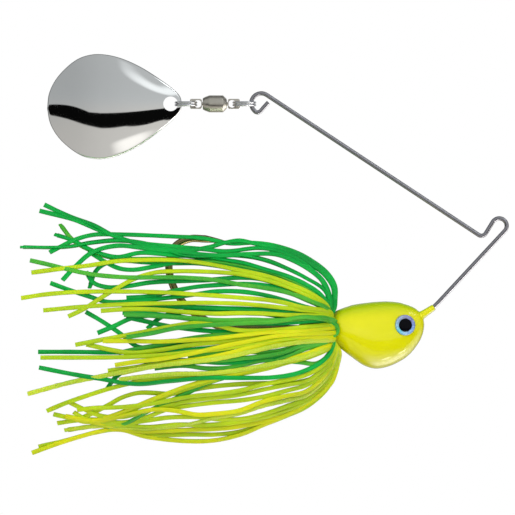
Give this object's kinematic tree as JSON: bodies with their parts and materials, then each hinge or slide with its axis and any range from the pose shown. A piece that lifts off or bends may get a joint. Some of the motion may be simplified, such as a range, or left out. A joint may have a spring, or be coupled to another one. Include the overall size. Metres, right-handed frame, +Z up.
{
  "type": "spinnerbait",
  "caption": "Fishing lure on a bent V wire: cupped teardrop blade on a swivel above, painted lead head, upturned hook and fringed silicone skirt below.",
  "frame": {"origin": "line tie: the centre of the tight bend at the front of the wire, where the fishing line is tied", "axes": "+X forward, the way the lure is pulled; +Z up, towards the blade and the hook point; the wire, hook and blade lie in the plane Y = 0"},
  "size_m": [0.0978, 0.0333, 0.0822],
  "materials": {
    "wire_steel": "bright drawn stainless wire",
    "head_paint": "gloss powder-coated lead, yellow with greener edges",
    "eye_iris": "pearl blue moulded eye with a raised rim",
    "eye_pupil": "gloss black dome",
    "hook_bronze": "dark bronzed steel with gold glints",
    "collar_silicone": "satin silicone band",
    "strand_green": "glossy dark green silicone ribbon",
    "strand_leaf": "glossy mid green silicone ribbon",
    "strand_chartreuse": "glossy chartreuse silicone ribbon with fine flecks",
    "ring_steel": "nickel-plated spring wire",
    "swivel_nickel": "dull nickel-plated brass",
    "ball_steel": "polished steel balls",
    "blade_nickel": "mirror-polished nickel plate"
  },
  "bodies": {
    "frame": {"wire_frame": "wire_steel", "head_casting": "head_paint", "hook": "hook_bronze", "eye_iris_left": "eye_iris", "eye_pupil_left": "eye_pupil", "eye_iris_right": "eye_iris", "eye_pupil_right": "eye_pupil", "skirt_collar": "collar_silicone", "skirt_front_strand_01": "strand_green", "skirt_front_strand_02": "strand_green", "skirt_front_strand_03": "strand_green", "skirt_front_strand_04": "strand_chartreuse", "skirt_front_strand_05": "strand_chartreuse", "skirt_front_strand_06": "strand_chartreuse", "skirt_front_strand_07": "strand_chartreuse", "skirt_front_strand_08": "strand_chartreuse", "skirt_front_strand_09": "strand_chartreuse", "skirt_front_strand_10": "strand_chartreuse", "skirt_front_strand_11": "strand_chartreuse", "skirt_front_strand_12": "strand_chartreuse", "skirt_front_strand_13": "strand_chartreuse", "skirt_front_strand_14": "strand_green", "skirt_front_strand_15": "strand_green", "skirt_front_strand_16": "strand_green", "skirt_rear_strand_01": "strand_leaf", "skirt_rear_strand_02": "strand_chartreuse", "skirt_rear_strand_03": "strand_chartreuse", "skirt_rear_strand_04": "strand_leaf", "skirt_rear_strand_05": "strand_chartreuse", "skirt_rear_strand_06": "strand_chartreuse", "skirt_rear_strand_07": "strand_leaf", "skirt_rear_strand_08": "strand_chartreuse", "skirt_rear_strand_09": "strand_chartreuse", "skirt_rear_strand_10": "strand_leaf", "skirt_rear_strand_11": "strand_chartreuse", "skirt_rear_strand_12": "strand_chartreuse", "skirt_rear_strand_13": "strand_leaf", "skirt_rear_strand_14": "strand_chartreuse", "skirt_rear_strand_15": "strand_chartreuse", "skirt_rear_strand_16": "strand_leaf"},
    "arm_ring": {"arm_split_ring": "ring_steel"},
    "swivel_body": {"swivel_barrel": "swivel_nickel", "swivel_front_eye": "swivel_nickel"},
    "bearing_balls": {"swivel_ball_01": "ball_steel", "swivel_ball_02": "ball_steel", "swivel_ball_03": "ball_steel", "swivel_ball_04": "ball_steel", "swivel_ball_05": "ball_steel", "swivel_ball_06": "ball_steel"},
    "swivel_shaft": {"swivel_rear_eye": "swivel_nickel"},
    "blade_ring": {"blade_split_ring": "ring_steel"},
    "blade": {"spinner_blade": "blade_nickel"}
  },
  "joints": [
    {"name": "arm_ring_swing", "type": "hinge", "parent": "frame", "child": "arm_ring", "pos_m": [-0.0504, 0, 0.02595], "axis": [0, 1, 0], "range_deg": [-20, 80]},
    {"name": "swivel_yaw", "type": "hinge", "parent": "arm_ring", "child": "swivel_body", "pos_m": [-0.05398, 0, 0.02585], "axis": [0, 0, 1], "range_deg": [-75, 75]},
    {"name": "swivel_spin", "type": "hinge", "parent": "swivel_body", "child": "swivel_shaft", "pos_m": [-0.0614, 0, 0.02585], "axis": [1, 0, 0], "continuous": true},
    {"name": "ball_orbit", "type": "hinge", "parent": "swivel_body", "child": "bearing_balls", "pos_m": [-0.0614, 0, 0.02585], "axis": [1, 0, 0], "continuous": true},
    {"name": "blade_ring_swing", "type": "hinge", "parent": "swivel_shaft", "child": "blade_ring", "pos_m": [-0.06385, 0, 0.02585], "axis": [0, 1, 0], "range_deg": [-45, 45]},
    {"name": "blade_flap", "type": "hinge", "parent": "blade_ring", "child": "blade", "pos_m": [-0.06631, 0, 0.02585], "axis": [0, 0, 1], "range_deg": [-60, 60]}
  ],
  "couplings": [
    {"joint": "ball_orbit", "follows": "swivel_spin", "ratio": 0.5}
  ]
}
